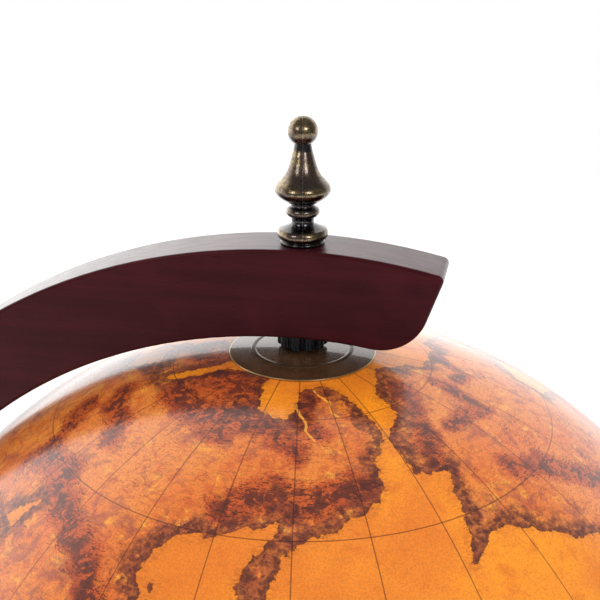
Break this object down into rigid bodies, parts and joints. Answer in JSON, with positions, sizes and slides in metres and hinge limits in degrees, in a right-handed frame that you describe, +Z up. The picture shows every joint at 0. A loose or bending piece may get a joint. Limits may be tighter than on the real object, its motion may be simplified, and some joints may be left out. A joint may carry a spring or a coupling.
{
  "type": "desktop globe on stand",
  "caption": "Desk globe with an antique-style map, turning on an upright spindle in a C-shaped dark wooden arm with a brass finial, on a turned round foot",
  "frame": {"origin": "on the polar axis at the table plane, the centre of the felt's underside", "axes": "+Z up along the globe's polar axis; the arm stands in the XZ plane with its back towards -X; the globe is seen past the arm from -Y"},
  "size_m": [0.4444, 0.4006, 0.5894],
  "materials": {
    "mahogany": "dark mahogany stain under satin lacquer",
    "birch": "raw",
    "antique_brass": "antiqued, dark in the hollows",
    "black_plastic": "moulded, slight sheen",
    "nylon": "moulded",
    "steel": "zinc plated",
    "printed_map": "printed paper under clear gloss lacquer",
    "printed_tape": "printed paper under clear gloss lacquer",
    "board": "raw",
    "felt": "felt"
  },
  "bodies": {
    "stand": {"foot": "mahogany", "felt_pad": "felt", "foot_washer": "steel", "foot_nut": "steel", "pedestal": "mahogany", "pedestal_dowels": "birch", "arm_lower": "mahogany", "arm_middle": "mahogany", "arm_upper": "mahogany", "arm_lower_dowels": "birch", "arm_upper_dowels": "birch", "spindle_rod": "steel", "finial": "antique_brass", "north_fluted_nut": "black_plastic", "south_fluted_nut": "black_plastic", "north_thrust_washer": "nylon", "south_thrust_washer": "nylon"},
    "globe": {"north_hemisphere": "printed_map", "south_hemisphere": "printed_map", "equator_splice_ring": "board", "equator_band": "printed_tape", "core_tube": "board", "north_hub_bush": "nylon", "south_hub_bush": "nylon", "north_polar_cap": "antique_brass", "south_polar_cap": "antique_brass"}
  },
  "joints": [
    {"name": "globe_spin", "type": "hinge", "parent": "stand", "child": "globe", "pos_m": [0, 0, 0.296], "axis": [0, 0, 1], "continuous": true}
  ]
}
